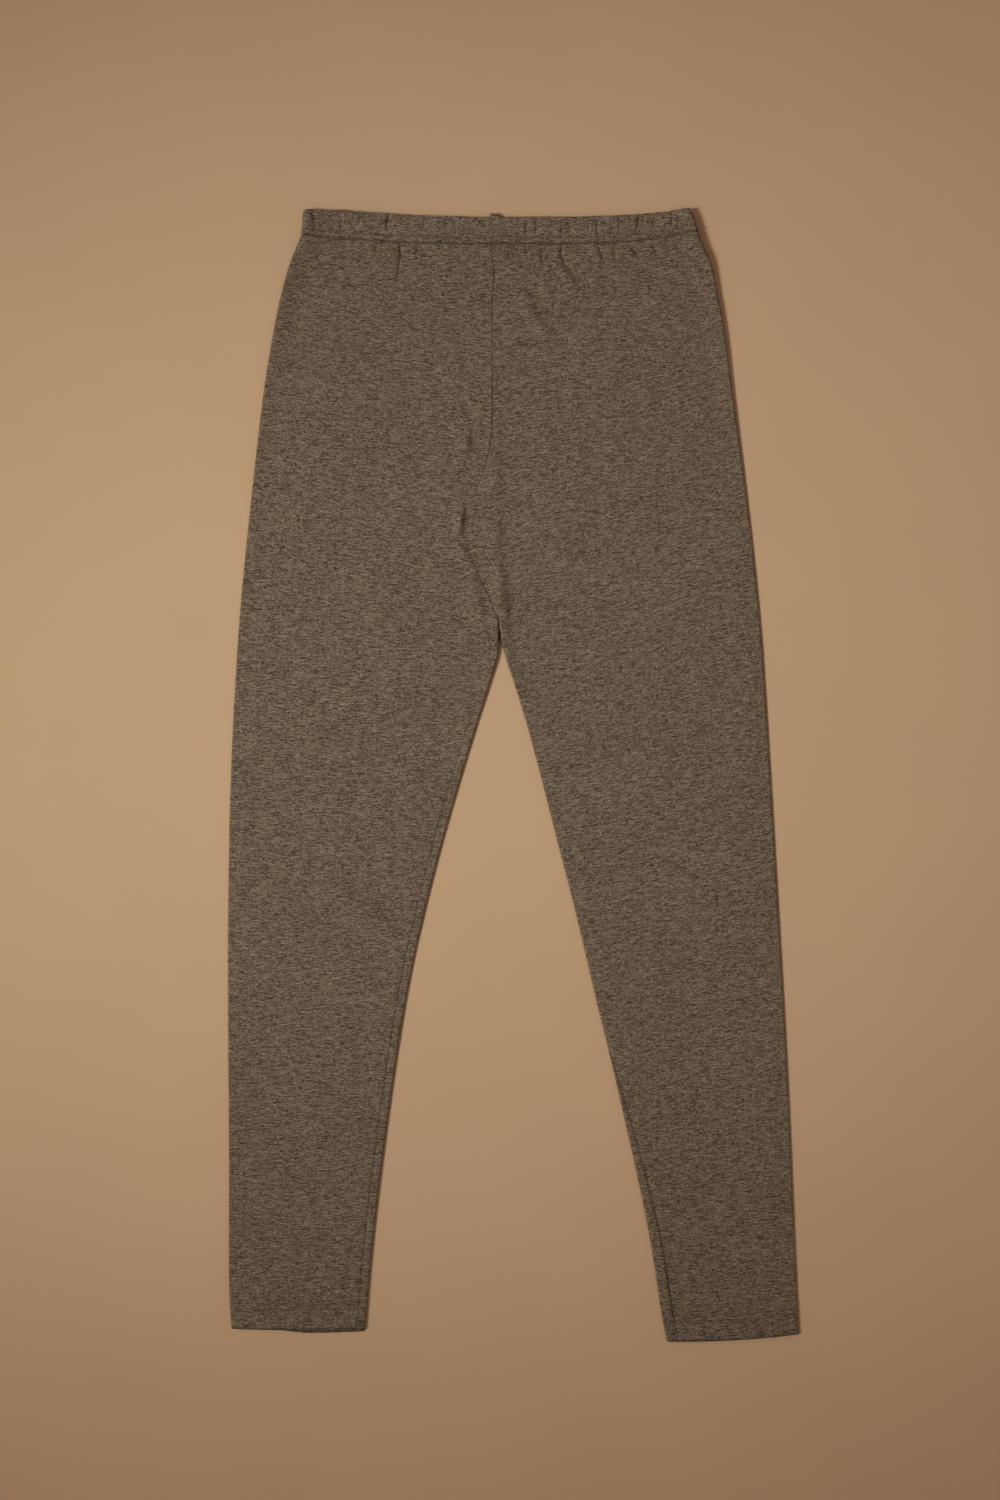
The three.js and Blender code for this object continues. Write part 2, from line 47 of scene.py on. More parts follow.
# Camera. It hangs straight above the leggings, with the waist at the top of an upright picture.
PICTURE_HEIGHT = 1.26  # metres of the paper from the top of the picture to its bottom
PICTURE_MIDDLE = (-0.0122, 0.0204)
LENS, SENSOR = 60, 36

camera = bpy.data.objects.new("overhead_camera", bpy.data.cameras.new("overhead_camera"))
camera.data.lens = LENS
camera.data.sensor_width = SENSOR
camera.location = (*PICTURE_MIDDLE, PICTURE_HEIGHT * LENS / SENSOR)
bpy.context.collection.objects.link(camera)
bpy.context.scene.camera = camera
bpy.context.scene.view_settings.view_transform = "Standard"

# Paper and light. A large plain sheet of pale warm paper lies under the leggings. One soft light stands
# to the left, brightest at the left middle, and the warm room fills the shadows.
PAPER_SIZE = 7
PAPER_UNDER = 0.0003  # the cloth's lowest threads still clear it
PAPER_COLOURS = (0.48, 0.32, 0.183, 1), (0.52, 0.346, 0.198, 1)


def add_node(tree, kind, inputs=None, **settings):
    """A shader node with its settings, and with values or links on its inputs."""
    made = tree.nodes.new(kind)
    for name, value in settings.items():
        setattr(made, name, value)
    for name, value in (inputs or {}).items():
        if isinstance(value, bpy.types.NodeSocket):
            tree.links.new(value, made.inputs[name])
        else:
            made.inputs[name].default_value = value
    return made


def new_material(name):
    """An empty material, its node tree and its Principled shader."""
    material = bpy.data.materials.new(name)
    material.use_nodes = True
    tree = material.node_tree
    return material, tree, tree.nodes["Principled BSDF"]


def link_object(name, mesh, material):
    """A visible object of one material."""
    mesh.materials.append(material)
    made = bpy.data.objects.new(name, mesh)
    bpy.context.collection.objects.link(made)
    return made


paper_material, tree, shader = new_material("pale_paper")
place = add_node(tree, "ShaderNodeTexCoord").outputs["Object"]
mottle = add_node(tree, "ShaderNodeTexNoise", {"Vector": place, "Scale": 9, "Detail": 3})
tint = add_node(
    tree,
    "ShaderNodeMixRGB",
    {"Fac": mottle.outputs[0], "Color1": PAPER_COLOURS[0], "Color2": PAPER_COLOURS[1]},
)
fibres = add_node(tree, "ShaderNodeTexNoise", {"Vector": place, "Scale": 900, "Detail": 4})
grain = add_node(tree, "ShaderNodeBump", {"Strength": 0.12, "Distance": 0.0004, "Height": fibres.outputs[0]})
tree.links.new(tint.outputs[0], shader.inputs["Base Color"])
tree.links.new(grain.outputs[0], shader.inputs["Normal"])
shader.inputs["Roughness"].default_value = 0.85

paper_mesh = bpy.data.meshes.new("paper")
half = PAPER_SIZE / 2
corners = [(-half, -half), (half, -half), (half, half), (-half, half)]
paper_mesh.from_pydata([(x, y, -PAPER_UNDER) for x, y in corners], [], [(0, 1, 2, 3)])
paper = link_object("paper", paper_mesh, paper_material)

KEY = {
    "place": (-2.55, -0.3, 2.65),
    "aim": (-0.06, 0.103, 0),
    "size": 1.05,
    "spread": 30,
    "watts": 4.32,
    "colour": (0.93, 0.985, 1),
}
key = bpy.data.objects.new("key_light", bpy.data.lights.new("key_light", "AREA"))
key.data.shape = "DISK"
key.data.size = KEY["size"]
key.data.spread = np.radians(KEY["spread"])
key.data.energy = KEY["watts"]
key.data.color = KEY["colour"]
key.location = KEY["place"]
key.rotation_euler = (Vector(KEY["aim"]) - Vector(KEY["place"])).to_track_quat("-Z", "Y").to_euler()
bpy.context.collection.objects.link(key)

ROOM = {"colour": (1, 0.74, 0.6, 1), "strength": 0.34}
room = bpy.data.worlds.new("room")
room.use_nodes = True
room.node_tree.nodes["Background"].inputs["Color"].default_value = ROOM["colour"]
room.node_tree.nodes["Background"].inputs["Strength"].default_value = ROOM["strength"]
bpy.context.scene.world = room

# Legs. Each leg is one panel of heathered cotton jersey, wrapped from the centre front seam over the fold
# of the outer side to the centre back seam, and closed along the inseam below the crotch. Its lower edge is
# turned up once and sewn down with two rows of stitches.
MM = 0.001  # metres
LENGTH = 952
WALL = 1.1  # thickness of the cloth
HEM_WALL = 1.5  # cloth turned up over itself
CASING_WALL = 2.6  # cloth, elastic and cloth
INSIDE_GAP = 0.3  # between the front and the back layer
SEAM_GAP = 0.04  # between two pieces that are sewn together
STITCH_DOWN = 31  # the waist's lower row of stitches, in the middle
HEM_DEPTH = 21
CROTCH_DOWN = 353
CROTCH_ROLL = 14  # the seam's edges turn into a fold over this length above the crotch
WAIST_MIDDLE, WAIST_HALF = -12, 160
ELASTIC_LOOP = 9  # height of the fold at the ends of the elastic
FLAT_STACK = 2 * WALL + INSIDE_GAP
CASING_STACK = 2 * CASING_WALL + INSIDE_GAP
HEM_STACK = 2 * HEM_WALL + INSIDE_GAP
LEAST_STACK = FLAT_STACK - 0.2  # at the bottom of a gather
CASING_FADE, HEM_FADE, LOOP_FADE = 60, 16, 300  # lengths over which the thicker parts get flat
LOOP_WIDTH = {"waist": 24, "ankle": 12}
EDGE_PUFF = {"outer": -0.5, "inner": -0.35, "fade": 40}  # the folds are pressed down
CROTCH_PUFF = {"rise": 1.5, "down": 366, "reach": 90}  # the cloth beside the crotch stands up
CALM_EDGE = 9  # folds die out this close to the outer edge
SOFT_FADE = 40  # the cloth gets its soft unevenness this far below the waist's stitches
FOLD_ROOM = 0.55
FOLD_SHARE = 0.33  # how far a fold reaches round, as a share of its height
WAIST_FOLLOW, HEM_FOLLOW = 150, 80  # lengths over which rows follow the waist's and the hem's line
HEM_BACK = {"to": 0.7, "fade": 0.3}  # shares of the hem's width where its back shows below the front
GATHERS_END, WAVES_START = 30, 30  # below the waist's stitches

# Outlines, as (down, x).
RIGHT_OUTER = [
    (0, -174.2), (3, -176.4), (8, -177.6), (17, -178.2), (25, -179.5), (48, -188.5), (70, -195.1),
    (103, -202), (153, -210.3), (254, -222.1), (351, -231.3), (472, -238), (598, -240.5), (700, -240.4),
    (800, -239.7), (890, -239.8), (920, -239), (942, -237.4),
]
RIGHT_INNER = [
    (CROTCH_DOWN, -13.1), (366, -13.2), (379, -15.1), (392, -18.9), (417, -26.6), (472, -43.4),
    (531, -60.5), (580, -73.2), (598, -77.4), (620, -82.6), (665, -91.5), (733, -102.2), (800, -111.2),
    (867, -119), (930, -124.6), (942, -125.6),
]
LEFT_OUTER = [
    (0, 147), (12, 151.5), (21, 154.5), (31, 157.5), (47, 164.7), (70, 169.8), (103, 176),
    (153, 182.5), (254, 196), (351, 206.1), (410, 210.3), (472, 214.1), (598, 221.5), (733, 229),
    (867, 234.8), (952, 238.9),
]
LEFT_INNER = [
    (CROTCH_DOWN, -12.7), (362, -11.2), (370, -9.8), (381, -6.6), (401, 0.2), (447, 13.9), (531, 35.6),
    (598, 52.7), (665, 68.4), (733, 85.2), (800, 100.2), (867, 114), (926, 123.3), (952, 128.5),
]
CENTRE_FRONT = [
    (0, -18.5), (31, -18.5), (36, -19.2), (57, -16.8), (72, -18), (160, -18.3), (195, -19.5), (212, -23),
    (228, -28), (245, -34.2), (262, -38.6), (275, -40), (288, -38.4), (301, -33.2), (315, -27), (328, -20.8),
    (344, -15.4), (CROTCH_DOWN, -12.9),
]
# How plainly the centre front seam shows, as (down, share): both the depth of its groove and its painted
# shadow.
SEAM_SHOWS = [
    (0, 0.2), (20, 0.3), (34, 0.8), (44, 1), (74, 1), (92, 0.6), (150, 0.8), (170, 1), (208, 1),
    (226, 0.5), (245, 0.2), (272, 0.05), (290, 0.1), (306, 0.5), (320, 0.9), (CROTCH_DOWN, 1),
]
CENTRE_BACK = [(0, -15), (160, -16), (CROTCH_DOWN, -12.9)]
# The inseam's distance from the inner edge over the front; a minus is round on the back.
RIGHT_INSEAM = [(CROTCH_DOWN, 0), (392, 4.5), (430, 6.8), (952, 7.2)]
LEFT_INSEAM = [
    (CROTCH_DOWN, 0), (400, -5), (640, -5), (740, 3.2), (800, 7.1), (868, 9.6), (952, 10.6),
]
# How dark the painted shade along each inseam is, as (down, share).
RIGHT_INSEAM_SHOWS = [(CROTCH_DOWN, 0.1), (470, 0.15), (560, 0.6), (790, 0.6), (900, 0.35), (952, 0.1)]
LEFT_INSEAM_SHOWS = [(CROTCH_DOWN, 0.5), (860, 1), (926, 1), (934, 0.15), (952, 0.1)]

# "stitch_side" is how far down the waist's stitches are at the side and "dip_power" how flat their dip is.
# "cut_from" and "lean" lay the heather of each panel out: another part of it, and a slight slope by down.
LEGS = [
    {
        "name": "right", "side": -1, "outer": RIGHT_OUTER, "inner": RIGHT_INNER, "inseam": RIGHT_INSEAM,
        "hem": {"inner": 941, "outer": 941.2, "bow": 1.4, "back_below": 2.6},
        "inseam_shows": RIGHT_INSEAM_SHOWS,
        "stitch_side": 24.3, "dip_power": 2.2, "corner": {"drop": 2.6, "reach": 32}, "seed": 10,
        "cut_from": 0, "lean": [(0, 0), (190, -0.06), (450, 0), (952, 0.05)],
        "flat": (0.43, 0.92), "area": 0.3125,
    },
    {
        "name": "left", "side": 1, "outer": LEFT_OUTER, "inner": LEFT_INNER, "inseam": LEFT_INSEAM,
        "hem": {"inner": LENGTH, "outer": 945.8, "bow": 2.1, "back_below": 0},
        "inseam_shows": LEFT_INSEAM_SHOWS,
        "stitch_side": 21, "dip_power": 4, "corner": {"drop": 0.8, "reach": 50}, "seed": 20,
        "cut_from": 1700, "lean": [(0, 0), (190, 0.13), (450, 0.16), (952, 0.06)],
        "flat": (0.44, 0.93), "area": 0.3265,
    },
]

# Gathers that the elastic draws into the cloth, each a trough, then the soft creases of the front, each a
# low fold that falls off towards the right: from x, down, to x, down, depth, half width.
GATHERS = [
    (-170.5, 1, -167.5, 17, 1.1, 3.2),
    (-145.7, 10, -145.7, 19.5, 0.9, 3),
    (-129.8, 4, -130.5, 18, 0.8, 3),
    (-104.9, 3, -108.3, 22, 1.5, 3.4),
    (-87.8, 3, -87.8, 11, 0.7, 3),
    (-76, 7, -76.5, 21, 0.8, 3.2),
    (-58, 6, -57, 20, 0.6, 4),
    (9.7, 10, 9.2, 25, 0.8, 3),
    (18, 8, 17.6, 26, 1.0, 3.2),
    (39, 12, 39, 26, 0.9, 3),
    (44.9, 10, 45.4, 24, 0.7, 2.6),
    (51.7, 4, 51.7, 14, 1.1, 3),
    (69.3, 9, 69, 25, 0.9, 3),
    (86.9, 8, 87.2, 21, 0.8, 3),
    (105, 4, 101, 24, 1.5, 3.4),
    (116.3, 8, 116.5, 20, 0.9, 3),
    (131.5, 3, 131.3, 18, 1.0, 2.8),
    (137, 5, 136, 20, 0.9, 2.8),
    (-97.2, 29, -95.3, 44, 1.4, 4.2),
    (-95.3, 36, -98.8, 62, 1.0, 4.2),
    (39.2, 30, 38.2, 42, 1.2, 3.6),
    (38, 37, 42.8, 53, 1.2, 4),
    (-116.3, 30, -116, 41, 1.0, 3.4),
    (-81.9, 33, -82.4, 46, 0.6, 4),
    (-5.5, 35, -5.2, 47, 0.9, 3.6),
    (8.8, 32, 9.2, 42, 0.9, 3.2),
    (21.2, 31, 23.4, 49, 1.2, 3.6),
    (68.3, 30, 74.8, 47, 1.4, 3.8),
    (82.7, 31, 84, 43, 0.8, 3.6),
    (96, 34, 105.5, 44, 1.2, 3.8),
    (115.3, 30, 119.2, 43, 1.1, 3.2),
]
CREASES = [
    (-36.5, 182, -39, 213, 2.7, 3),
    (-40.5, 250, -45, 277, 3.4, 2.6),
    (-47, 276, -31, 306, 1.0, 3.4),
    (-33, 298, -23, 360, 1.3, 4),
    (-12, 166, -12, 290, 1.1, 4),
    (-13, 256, -9.5, 312, 1.2, 4),
    (-11, 294, -2, 362, 1.7, 4),
    (4, 62, 33, 112, 1.9, 3.6),
    (40, 44, 54, 72, 1.3, 3.6),
    (26, 40, 60, 66, 0.7, 4),
    (113.8, 88, 118.6, 99, 0.8, 4),
    (135, 77.4, 168, 69, 0.8, 5),
    (-62, 76, -70, 110, 0.7, 5),
    (-165, 552, -98, 604, 2.2, 6),
]


def mix(a, b, t):
    return a + (b - a) * t


def ease(t):
    """Passes smoothly from 0 to 1 as t does."""
    c = np.clip(t, 0, 1)
    return c * c * (3 - 2 * c)


def mound(t):
    """A smooth bump of height 1 between -1 and 1."""
    return np.clip(1 - np.square(t), 0, None) ** 2


def lapped(t):
    """A soft fold that stands up: it rises slowly from -4 and falls off quickly between -1 and 1."""
    return -ease((t + 4) / 3) * (1 - ease((t + 1) / 2))


def pinch(t):
    """A fold of height 1 between -1 and 1 with a sharp middle."""
    return np.clip(1 - np.abs(t), 0, None) ** 2


def noise(u, v, seed):
    """Smooth noise between -1 and 1, with about one bump in each unit of u and v."""
    cells = 61
    table = np.random.default_rng(seed).uniform(-1, 1, (cells, cells))
    i, j = np.floor(u).astype(int), np.floor(v).astype(int)
    s, t = ease(u - i), ease(v - j)

    def corner(a, b):
        return table[(i + a) % cells, (j + b) % cells]

    return mix(mix(corner(0, 0), corner(1, 0), s), mix(corner(0, 1), corner(1, 1), s), t)


def along(rows, down):
    """The x of an outline at a distance down, on a smooth curve through its rows."""
    downs, xs = np.array(rows, float).T
    i = np.arange(len(xs))
    before, after = np.maximum(i - 1, 0), np.minimum(i + 1, i[-1])
    slopes = (xs[after] - xs[before]) / (downs[after] - downs[before])
    k = np.clip(np.searchsorted(downs, down, side="right") - 1, 0, len(xs) - 2)
    span = downs[k + 1] - downs[k]
    t = np.clip((down - downs[k]) / span, 0, 1)
    straight = (xs[k + 1] - xs[k]) / span
    bend = (slopes[k] - straight) * (1 - t) - (slopes[k + 1] - straight) * t
    return mix(xs[k], xs[k + 1], t) + span * t * (1 - t) * bend


def stitch_line(leg, x):
    """The lower row of stitches of the waist, which dips between its two sides."""
    t = np.abs(x - WAIST_MIDDLE) / WAIST_HALF
    return mix(leg["stitch_side"], STITCH_DOWN, 1 - np.minimum(1, t) ** leg["dip_power"])


def hem_middle(leg):
    return (leg["hem"]["inner"] + leg["hem"]["outer"]) / 2


def hem_line(leg, x, behind):
    """The lower edge of the hem, for behind 0 on the front and 1 on the back layer."""
    hem = leg["hem"]
    inner, outer = along(leg["inner"], hem_middle(leg)), along(leg["outer"], hem_middle(leg))
    t = np.clip((x - inner) / (outer - inner), 0, 1)
    front = mix(hem["inner"], hem["outer"], t) + hem["bow"] * 4 * t * (1 - t)
    return front + behind * hem["back_below"] * ease((HEM_BACK["to"] - t) / HEM_BACK["fade"])


def troughs(rows, x, down, profile, width=None):
    """How deep a table of gathers or creases is at a point of the front, or how dark if it has a width."""
    depth = np.zeros(np.broadcast(x, down).shape)
    for from_x, from_down, to_x, to_down, deep, half_width in rows:
        run_x, run_down = to_x - from_x, to_down - from_down
        off_x, off_down = x - from_x, down - from_down
        length = np.hypot(run_x, run_down)
        t = (off_x * run_x + off_down * run_down) / length**2
        across = (off_x * run_down - off_down * run_x) / length
        depth += deep * profile(across / (width or half_width)) * np.sqrt(mound(2 * t - 1))
    return depth


# The noises below are laid out by their sizes in millimetres across and down, and shifted apart.
def small_gathers(x, below, seed):
    """Small uneven gathers all round, in the casing and dying out below the stitches."""
    narrow = 0.26 * noise(x / 3.4, below / 23 + 9, seed)
    wide = 0.2 * noise(x / 7.5, below / 38 + 5, seed + 1)
    strength = 0.65 + 0.35 * noise(x / 31, below / 60, seed + 2)
    return (narrow + wide) * strength * (1 - ease(below / GATHERS_END))


def softness(x, down, seed):
    """The soft unevenness of cloth that lies nearly flat."""
    broad = 0.32 * noise(x / 58 + 7, down / 83 + 3, seed)
    slanted = 0.13 * noise((x + 0.35 * down) / 27, (down - 0.3 * x) / 36, seed + 1)
    return broad + slanted


def front_height(leg, x, down):
    """Height of the top of the front layer above the paper."""
    below = down - stitch_line(leg, x)
    above_hem = hem_line(leg, x, 0) - down
    from_side = np.abs(along(leg["outer"], down) - x)
    from_inner = np.abs(along(leg["inner"], down) - x)
    near_casing = 1 - ease(below / CASING_FADE)
    near_hem = 1 - ease((above_hem - HEM_DEPTH) / HEM_FADE)
    stack = FLAT_STACK + (CASING_STACK - FLAT_STACK) * near_casing + (HEM_STACK - FLAT_STACK) * near_hem

    at_waist = 1 - ease(down / LOOP_FADE)
    loop = mix(EDGE_PUFF["outer"], ELASTIC_LOOP - CASING_STACK, at_waist)
    loop_width = mix(LOOP_WIDTH["ankle"], LOOP_WIDTH["waist"], at_waist)
    outer_edge = loop * (1 - ease(from_side / loop_width))
    puff = EDGE_PUFF["inner"] * ease((down - CROTCH_DOWN) / EDGE_PUFF["fade"])
    puff += CROTCH_PUFF["rise"] * mound((down - CROTCH_PUFF["down"]) / CROTCH_PUFF["reach"])
    inner_edge = puff * (1 - ease(from_inner / LOOP_WIDTH["ankle"]))

    folds = troughs(GATHERS, x, down, pinch) + troughs(CREASES, x, down, lapped) + small_gathers(x, below, 3)
    lie = softness(x, down, leg["seed"]) * ease(below / SOFT_FADE)
    calm = ease(from_side / CALM_EDGE)
    least = np.where(below < 0, CASING_WALL + INSIDE_GAP + WALL, LEAST_STACK)
    return np.maximum(stack + outer_edge + inner_edge - (folds - lie) * calm, least)


def back_height(leg, x, down):
    """How far the back layer stands off the paper, in gathers and soft waves."""
    below = down - stitch_line(leg, x)
    gathered = np.maximum(0, small_gathers(x + 400, below, 6) * 1.4)
    waves = 0.15 * (1 + noise(x / 47, down / 61, leg["seed"] + 5)) * ease(below / WAVES_START)
    return gathered + waves


# Columns of a row of cloth: round half of the inner edge, close together beside it, over the rest of the
# front, round the fold of the outer side, and over the back.
EDGE_COLUMNS, NEAR_COLUMNS, FOLD_COLUMNS = 8, 18, 12
LEG_COLUMNS = {"front": 200, "back": 30}
NEAR_EDGE = 13  # width of the close columns
BACK_FADE = 10  # the back layer lies down over this width before it folds round
THIN = 0.5  # the cloth is never pressed thinner
GROOVE_WIDTH = 1.5  # on each side of a centre seam
BACK_MEETS = {"down": 360, "fade": 14}  # the backs of the legs meet a little further down than the fronts


def ring(leg, row):
    """The outer and inner face of one row of a panel, as arrays of x, down and height. It starts at the
    middle of the inner edge, or at the centre front seam, and goes over the front and back."""
    side = leg["side"]
    roll = ease((row.straight - CROTCH_DOWN) / CROTCH_ROLL + 1)
    outer_x = along(leg["outer"], row.down_at(along(leg["outer"], row.straight), 0))
    inner_x = along(leg["inner"], row.straight)
    front_x, back_x = mix(row.front_x, inner_x, roll), mix(row.back_x, inner_x, roll)

    def heights(x):
        return row.height_at(x, row.down_at(x, 0))

    def reach_at(x):
        return max(row.wall_at(x, 0) + FOLD_ROOM, FOLD_SHARE * heights(x))

    outer_reach, inner_reach = reach_at(outer_x), float(row.wall_at(front_x, 0) + FOLD_ROOM)
    outer_start = outer_x - side * outer_reach
    front_start, back_start = front_x + side * inner_reach, back_x + side * inner_reach

    # The front: close columns beside the inner edge, then even ones.
    near = front_start + side * NEAR_EDGE * np.arange(NEAR_COLUMNS) / NEAR_COLUMNS
    rest = np.linspace(front_start + side * NEAR_EDGE, outer_start, row.columns["front"] + 1)
    front = np.concatenate([near, rest])
    carried = (1 - ease((row.straight - BACK_MEETS["down"]) / BACK_MEETS["fade"])) * roll
    carry = (CENTRE_BACK[-1][1] + side * SEAM_GAP / 2 - inner_x - side * inner_reach) * carried
    back = np.linspace(outer_start, back_start + carry, row.columns["back"] + 1)

    def fold(edge_x, reach, towards, turns):
        """Points round a fold, from a turn of 0 on the front to pi on the back."""
        centre = edge_x - towards * reach
        half = heights(centre) / 2
        behind = (1 - np.cos(turns)) / 2
        wall = np.minimum(row.wall_at(centre, 0), half - INSIDE_GAP / 2)
        drawn = row.drawn
        across, up = towards * np.sin(turns), np.cos(turns)
        outer = centre + (reach - drawn) * across, half + (half - drawn) * up
        inner = centre + (reach - wall + drawn) * across, half + (half - wall + drawn) * up
        return outer, inner, row.down_at(np.full_like(turns, centre), behind), behind

    def layer(x, behind):
        """Points of the front or back layer."""
        down = row.down_at(x, behind)
        low = back_height(leg, x, down) * ease(np.abs(x - outer_start) / BACK_FADE)
        low_inner = low + row.wall_at(x, 1)
        if behind:
            return (x, low + row.drawn), (x, low_inner - row.drawn), down, np.ones_like(x)
        top = row.height_at(x, down)
        under = np.minimum(np.maximum(top - row.wall_at(x, 0), low_inner + INSIDE_GAP), top - THIN)
        return (x, top - row.drawn), (x, under + row.drawn), down, np.zeros_like(x)

    def cut_edge(seam_x, start_x, behind):
        """Points beside the centre seam, from the seam to where the layer starts."""
        x = np.linspace(seam_x + side * SEAM_GAP / 2, start_x, EDGE_COLUMNS + 1)[:-1]
        (x, z), (_, under), down, share = layer(x, behind)
        dip = row.groove * (1 - ease(np.abs(x - seam_x) / GROOVE_WIDTH)) * (-1 if behind else 1)
        return (x, z - dip), (x, under - dip / 2), down, share

    def edge(seam_x, start_x, behind):
        """The half of the inner edge on the front or back: a cut edge above the crotch, a fold below."""
        turns = np.linspace(np.pi / 2, np.pi if behind else 0, EDGE_COLUMNS + 1)[:-1]
        cut = cut_edge(seam_x, start_x, behind)
        folded = fold(inner_x, inner_reach, -side, turns)
        outer, inner = (
            (mix(a[0], b[0], roll), mix(a[1], b[1], roll)) for a, b in zip(cut[:2], folded[:2])
        )
        if behind:
            outer = outer[0] + carry * (1 - np.sin(turns)), outer[1]
        return outer, inner, mix(cut[2], folded[2], roll), mix(cut[3], folded[3], roll)

    def backwards(part):
        (a, b), (c, d), down, share = part
        return (a[::-1], b[::-1]), (c[::-1], d[::-1]), down[::-1], share[::-1]

    turns = np.linspace(0, np.pi, FOLD_COLUMNS + 1)[1:-1]
    parts = [
        edge(front_x, front_start, 0),
        layer(front, 0),
        fold(outer_x, outer_reach, side, turns),
        layer(back, 1),
        backwards(edge(back_x, back_start, 1)),
    ]
    face_x, face_z = (np.concatenate([part[0][i] for part in parts]) for i in (0, 1))
    inside_x, inside_z = (np.concatenate([part[1][i] for part in parts]) for i in (0, 1))
    down, behind = (np.concatenate([part[i] for part in parts]) for i in (2, 3))

    # Fine relief goes in or out along the outer face's own normal.
    across, up = np.gradient(face_x), np.gradient(face_z)
    length = np.maximum(np.hypot(across, up), 1e-6)
    normal_x, normal_z = side * -up / length, side * across / length

    # Distances round the cloth: "walked" is from the seam, with a minus on the back, and the cloth's own
    # coordinates are from the middle of the outer fold.
    steps = np.hypot(np.diff(face_x), np.diff(face_z))
    across_cloth = np.concatenate([[0], np.cumsum(steps)])
    first_half = np.arange(len(steps) + 1) < len(steps) / 2
    walked = np.where(first_half, across_cloth, across_cloth - across_cloth[-1])
    middle = EDGE_COLUMNS + len(front) + FOLD_COLUMNS // 2
    across_cloth += leg["cut_from"] - across_cloth[middle]
    cloth = np.stack([across_cloth, down + along(leg["lean"], row.straight) * face_x, 0 * down], 1)
    # Each row gives its relief and its painted shade.
    relief, painted_shade = row.relief(face_x, down, behind, walked)
    if roll == 1:
        relief[-1], painted_shade[-1] = relief[0], painted_shade[0]
        normal_x[0] = normal_x[-1] = -side
        normal_z[0] = normal_z[-1] = 0
    face_x = face_x + normal_x * relief
    face_z = np.maximum(face_z + normal_z * relief, 0)
    return SimpleNamespace(
        outer=np.stack([face_x, LENGTH / 2 - down, face_z], 1),
        inner=np.stack([inside_x, LENGTH / 2 - down, inside_z], 1),
        normal=np.stack([normal_x, 0 * normal_x, normal_z], 1),
        painted_shade=painted_shade,
        cloth=cloth,
        closed=row.straight >= CROTCH_DOWN,
    )


INSIDE_SHADE = 0.15  # the inner face only shows at the hems and lies in shade there


def wall_mesh(name, rings, side):
    """A closed wall of cloth through a list of rings. Those below the crotch join up with themselves."""
    outer, inner = (np.array([getattr(r, face) for r in rings]) for face in ("outer", "inner"))
    rows, columns = outer.shape[:2]
    number = np.arange(2 * rows * columns).reshape(2, rows, columns)
    closed = np.array([r.closed for r in rings])
    number[:, closed, -1] = number[:, closed, 0]
    o, i = number

    def strip(a, b):
        """Quads between two lines of points."""
        return np.stack([a[:-1], b[:-1], b[1:], a[1:]], -1).reshape(-1, 4)

    open_rows = np.arange(rows - 1)[~closed[:-1]]
    quads = [
        np.stack([o[:-1, :-1], o[:-1, 1:], o[1:, 1:], o[1:, :-1]], -1).reshape(-1, 4),
        np.stack([i[:-1, :-1], i[1:, :-1], i[1:, 1:], i[:-1, 1:]], -1).reshape(-1, 4),
        strip(o[0], i[0]),
        strip(i[-1], o[-1]),
    ]
    for column, first, second in ((0, i, o), (-1, o, i)):
        lines = [n[np.append(open_rows, open_rows[-1] + 1), column] for n in (first, second)]
        quads.append(strip(*lines))
    faces = np.concatenate(quads)
    if side > 0:
        faces = faces[:, ::-1]
    used, faces = np.unique(faces, return_inverse=True)
    points = np.concatenate([outer.reshape(-1, 3), inner.reshape(-1, 3)])[used] * MM
    mesh = bpy.data.meshes.new(name)
    mesh.from_pydata(points.tolist(), [], faces.reshape(-1, 4).tolist())
    mesh.polygons.foreach_set("use_smooth", np.ones(len(mesh.polygons), bool))
    # The painted shade of each point, at least INSIDE_SHADE on the inner face, which lies in shade at the
    # hems.
    painted_shade = np.array([r.painted_shade for r in rings]).reshape(-1)
    painted_shade = np.concatenate([painted_shade, np.maximum(painted_shade, INSIDE_SHADE)])[used].astype(np.float32)
    mesh.attributes.new("painted_shade", "FLOAT", "POINT").data.foreach_set("value", painted_shade)
    cloth = np.array([r.cloth for r in rings]).reshape(-1, 3)
    cloth = (np.concatenate([cloth, cloth])[used] * MM).astype(np.float32)
    mesh.attributes.new("cloth", "FLOAT_VECTOR", "POINT").data.foreach_set("vector", cloth.reshape(-1))
    mesh.update()
    return mesh


# Rows of a leg: from, to and how many.
LEG_ZONES = [
    (STITCH_DOWN + SEAM_GAP / 2, STITCH_DOWN + 3, 6),
    (STITCH_DOWN + 4.5, 72, 22),
    (76, 120, 10),
    (126, 230, 16),
    (234, CROTCH_DOWN - CROTCH_ROLL - 1, 26),
    (CROTCH_DOWN - CROTCH_ROLL, CROTCH_DOWN - 0.3, 9),
    (CROTCH_DOWN, 384, 11),
    (390, 540, 12),
    (546, 632, 14),
    (644, 860, 14),
]
HEM_STITCHES = 17, 22  # rows of stitches above the hem's edge
HEM_ROUND = 0.7
HEM_ABOVE = [
    60, 50, 42, 36, 32, 29, 26.5, 24.7, 23.3, 22, 20.8, 19.6, 18.3, 17, 15.8, 14, 11.5, 9, 6.5, 4, 2.4,
]
GROOVE = 0.45  # depth at the centre seams
SEAM_SHADOW = {"dark": 0.62, "width": 0.7}
FOLD_SHADOW = {"gathers": 0.75, "narrow": 1.3, "creases": 0.1, "wide": 2.8}  # dark per mm, and half widths
STITCH_DITCH = 0.75  # how far the waist's lower row of stitches pulls the cloth down
DITCH_WIDTH = {"leg": 2.2, "casing": 2}
